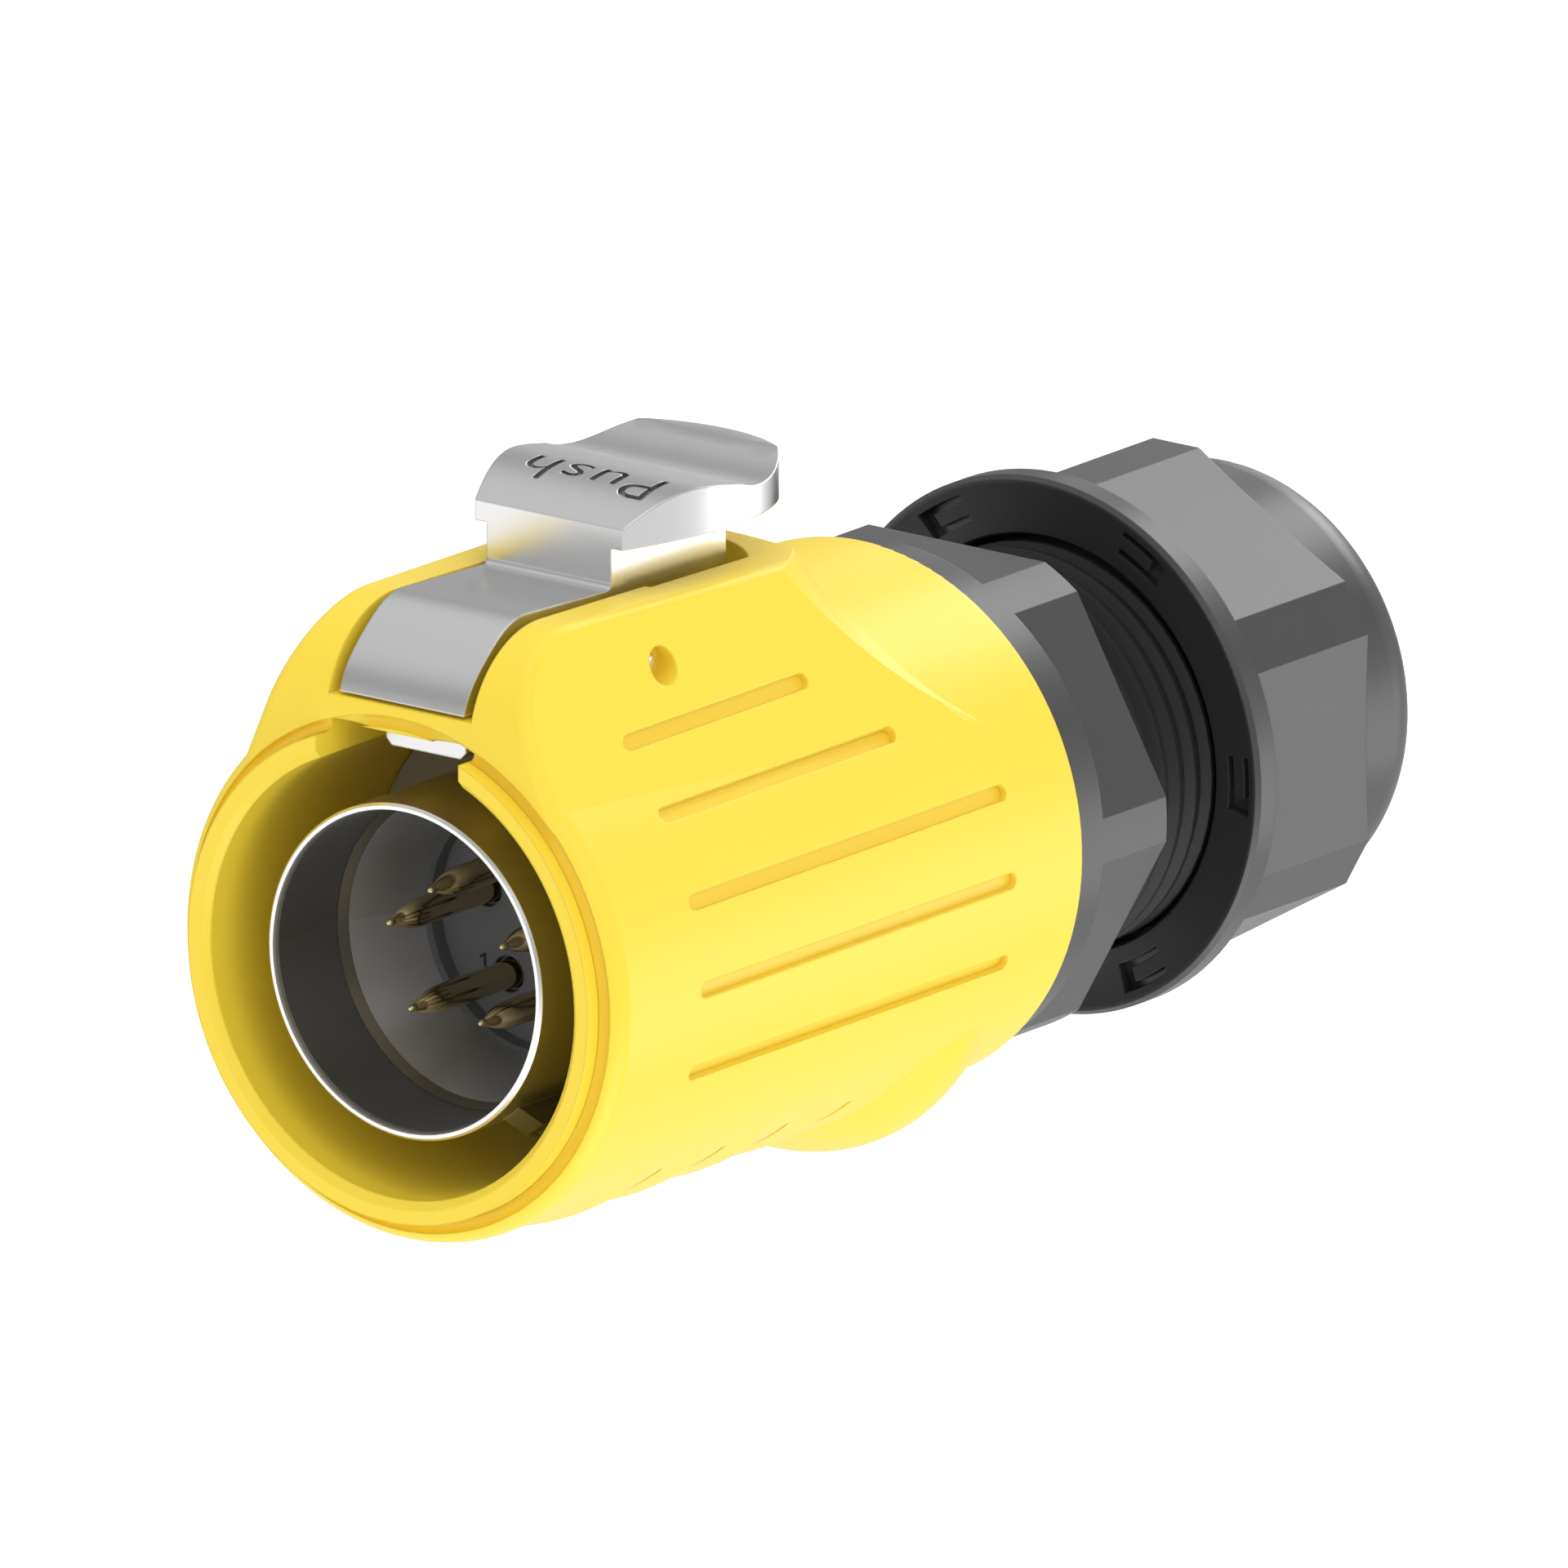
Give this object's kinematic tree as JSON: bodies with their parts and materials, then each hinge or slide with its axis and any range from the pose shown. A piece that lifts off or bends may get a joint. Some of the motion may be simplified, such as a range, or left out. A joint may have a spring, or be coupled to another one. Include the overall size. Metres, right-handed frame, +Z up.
{
  "type": "waterproof circular cable connector plug",
  "caption": "Round push-latch cable plug: keyed metal mating sleeve with pin contacts in a ribbed housing, hex rear body and screw-down cable clamp nut.",
  "frame": {"origin": "on the connector's axis, in the plane of the mating sleeve's front rim", "axes": "+X along the connector's axis towards the cable end, so the mating end looks along -X; +Z up through the release latch"},
  "size_m": [0.0806, 0.0322, 0.0447],
  "materials": {
    "housing_yellow": "satin moulded yellow plastic",
    "latch_steel": "satin bright metal",
    "pin_steel": "polished steel",
    "spring_steel": "drawn spring wire",
    "sleeve_metal": "satin nickel plate",
    "contact_gold": "gold plated",
    "insulator_black": "matt black moulding",
    "seal_rubber": "black rubber",
    "body_grey": "satin dark grey plastic",
    "cage_grey": "dark plastic",
    "nut_grey": "satin dark grey plastic"
  },
  "bodies": {
    "root": {"outer_housing": "housing_yellow", "latch_pin": "pin_steel", "latch_spring": "spring_steel", "mating_sleeve": "sleeve_metal", "interface_seal": "seal_rubber", "sleeve_nut": "sleeve_metal", "contact_insulator": "insulator_black", "rear_insulator": "insulator_black", "insulator_retainer": "spring_steel", "rear_body": "body_grey", "body_o_ring": "seal_rubber", "tail_o_ring": "seal_rubber", "clamp_cage": "cage_grey", "cable_seal": "seal_rubber", "contact_pin_1": "contact_gold", "contact_pin_2": "contact_gold", "contact_pin_3": "contact_gold", "contact_pin_4": "contact_gold", "contact_pin_5": "contact_gold"},
    "latch": {"release_latch": "latch_steel"},
    "washer": {"slip_washer": "cage_grey"},
    "nut": {"tail_nut": "nut_grey"}
  },
  "joints": [
    {"name": "latch_pivot", "type": "hinge", "parent": "root", "child": "latch", "pos_m": [0.0125, 0, 0.0171], "axis": [0, 1, 0], "range_deg": [0, 8], "stiffness_Nm_per_rad": 0.4, "springref_deg": -8.59, "deforming": ["latch_spring"]},
    {"name": "nut_advance", "type": "slide", "parent": "root", "child": "washer", "axis": [-1, 0, 0], "range_m": [0, 0.0054]},
    {"name": "nut_turn", "type": "hinge", "parent": "washer", "child": "nut", "pos_m": [0.066, 0, 0], "axis": [-1, 0, 0], "range_deg": [0, 1296]}
  ],
  "couplings": [
    {"joint": "nut_turn", "follows": "nut_advance", "rad_per_m": 4188.8}
  ]
}
